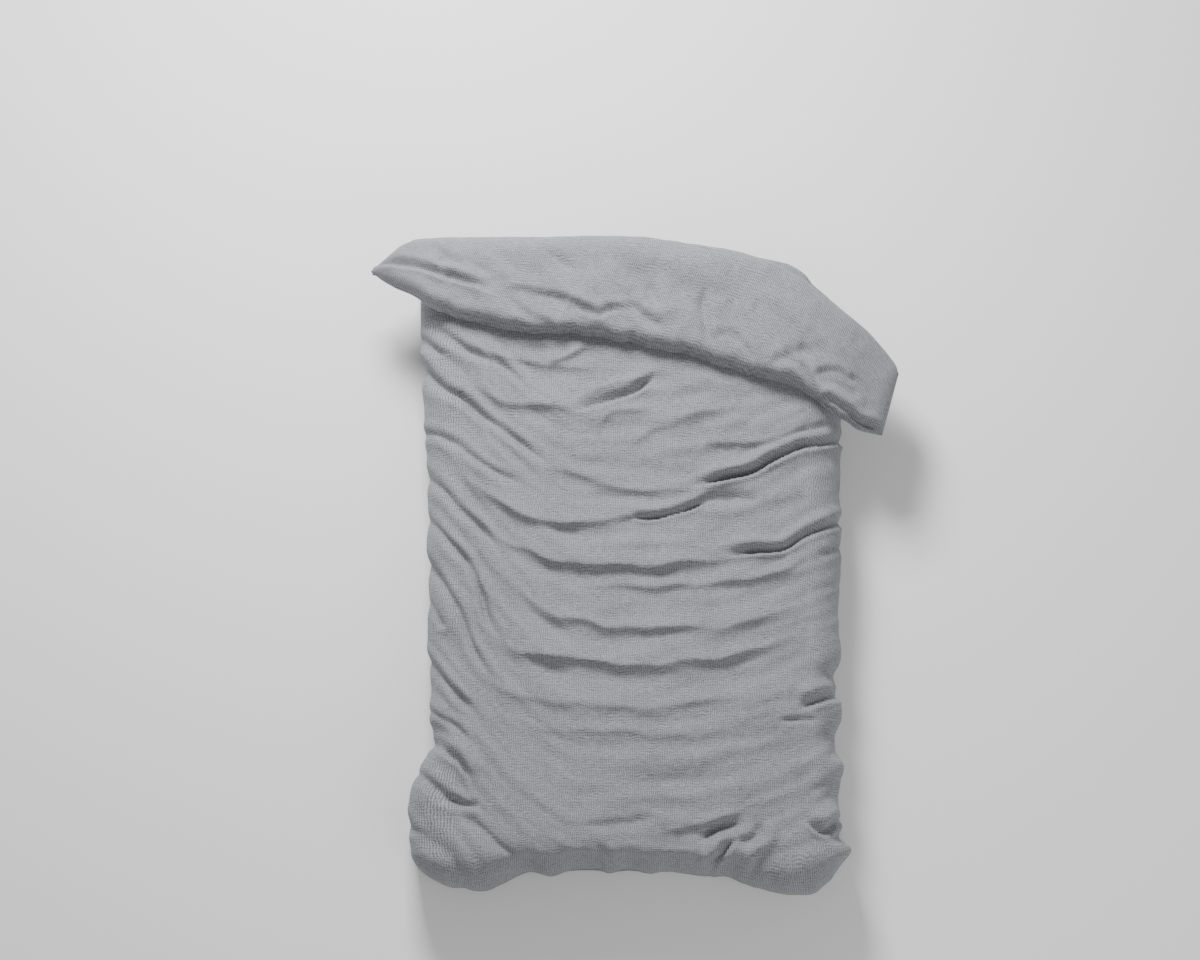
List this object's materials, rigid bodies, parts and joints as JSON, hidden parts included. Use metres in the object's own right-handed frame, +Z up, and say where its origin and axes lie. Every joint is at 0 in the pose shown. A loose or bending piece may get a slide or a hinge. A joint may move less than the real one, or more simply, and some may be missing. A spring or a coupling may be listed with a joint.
{
  "type": "single duvet draped on a bed",
  "caption": "Filled single duvet in a crinkled cover, laid over a bed with drops at both sides and the foot and its head edge turned back.",
  "frame": {"origin": "centre of the footprint, at the height of the hems", "axes": "+Y towards the head of the bed, +X towards the right-hand side seen from the foot, +Z up"},
  "size_m": [1.3696, 1.7098, 0.2998],
  "materials": {
    "cover_cotton": "matte crinkled woven cotton, light grey",
    "insert_ticking": "plain white woven ticking",
    "fibre_filling": "loose white hollow fibre",
    "seam_thread": "overlocked seam allowance",
    "snap_plastic": "satin moulded resin"
  },
  "bodies": {
    "duvet": {"cover_top_panel": "cover_cotton", "cover_under_panel": "cover_cotton", "fill_pad_1_1": "fibre_filling", "fill_pad_1_2": "fibre_filling", "fill_pad_1_3": "fibre_filling", "fill_pad_1_4": "fibre_filling", "fill_pad_2_1": "fibre_filling", "fill_pad_2_2": "fibre_filling", "fill_pad_2_3": "fibre_filling", "fill_pad_2_4": "fibre_filling", "fill_pad_3_1": "fibre_filling", "fill_pad_3_2": "fibre_filling", "fill_pad_3_3": "fibre_filling", "fill_pad_3_4": "fibre_filling", "fill_pad_4_1": "fibre_filling", "fill_pad_4_2": "fibre_filling", "fill_pad_4_3": "fibre_filling", "fill_pad_4_4": "fibre_filling", "fill_pad_5_1": "fibre_filling", "fill_pad_5_2": "fibre_filling", "fill_pad_5_3": "fibre_filling", "fill_pad_5_4": "fibre_filling", "fill_pad_6_1": "fibre_filling", "fill_pad_6_2": "fibre_filling", "fill_pad_6_3": "fibre_filling", "fill_pad_6_4": "fibre_filling", "foot_facing_under": "cover_cotton", "foot_facing_upper": "cover_cotton", "foot_seam_left": "seam_thread", "foot_seam_right": "seam_thread", "insert_top_ticking": "insert_ticking", "insert_under_ticking": "insert_ticking", "left_side_seam": "seam_thread", "right_side_seam": "seam_thread", "snap_socket_1": "snap_plastic", "snap_socket_2": "snap_plastic", "snap_socket_3": "snap_plastic", "snap_socket_4": "snap_plastic", "snap_socket_5": "snap_plastic", "snap_stud_1": "snap_plastic", "snap_stud_2": "snap_plastic", "snap_stud_3": "snap_plastic", "snap_stud_4": "snap_plastic", "snap_stud_5": "snap_plastic"},
    "turned_back_edge": {"turnback_fill_pad_1_1": "fibre_filling", "turnback_fill_pad_1_2": "fibre_filling", "turnback_fill_pad_1_3": "fibre_filling", "turnback_fill_pad_1_4": "fibre_filling", "turnback_head_seam": "seam_thread", "turnback_left_side_seam": "seam_thread", "turnback_right_side_seam": "seam_thread", "turnback_top_panel": "cover_cotton", "turnback_top_ticking": "insert_ticking", "turnback_under_panel": "cover_cotton", "turnback_under_ticking": "insert_ticking"}
  },
  "joints": [
    {"name": "turnback_fold", "type": "hinge", "parent": "duvet", "child": "turned_back_edge", "pos_m": [0, 0.855, 0.2319], "axis": [-1, 0, 0], "range_deg": [0, 172]}
  ]
}
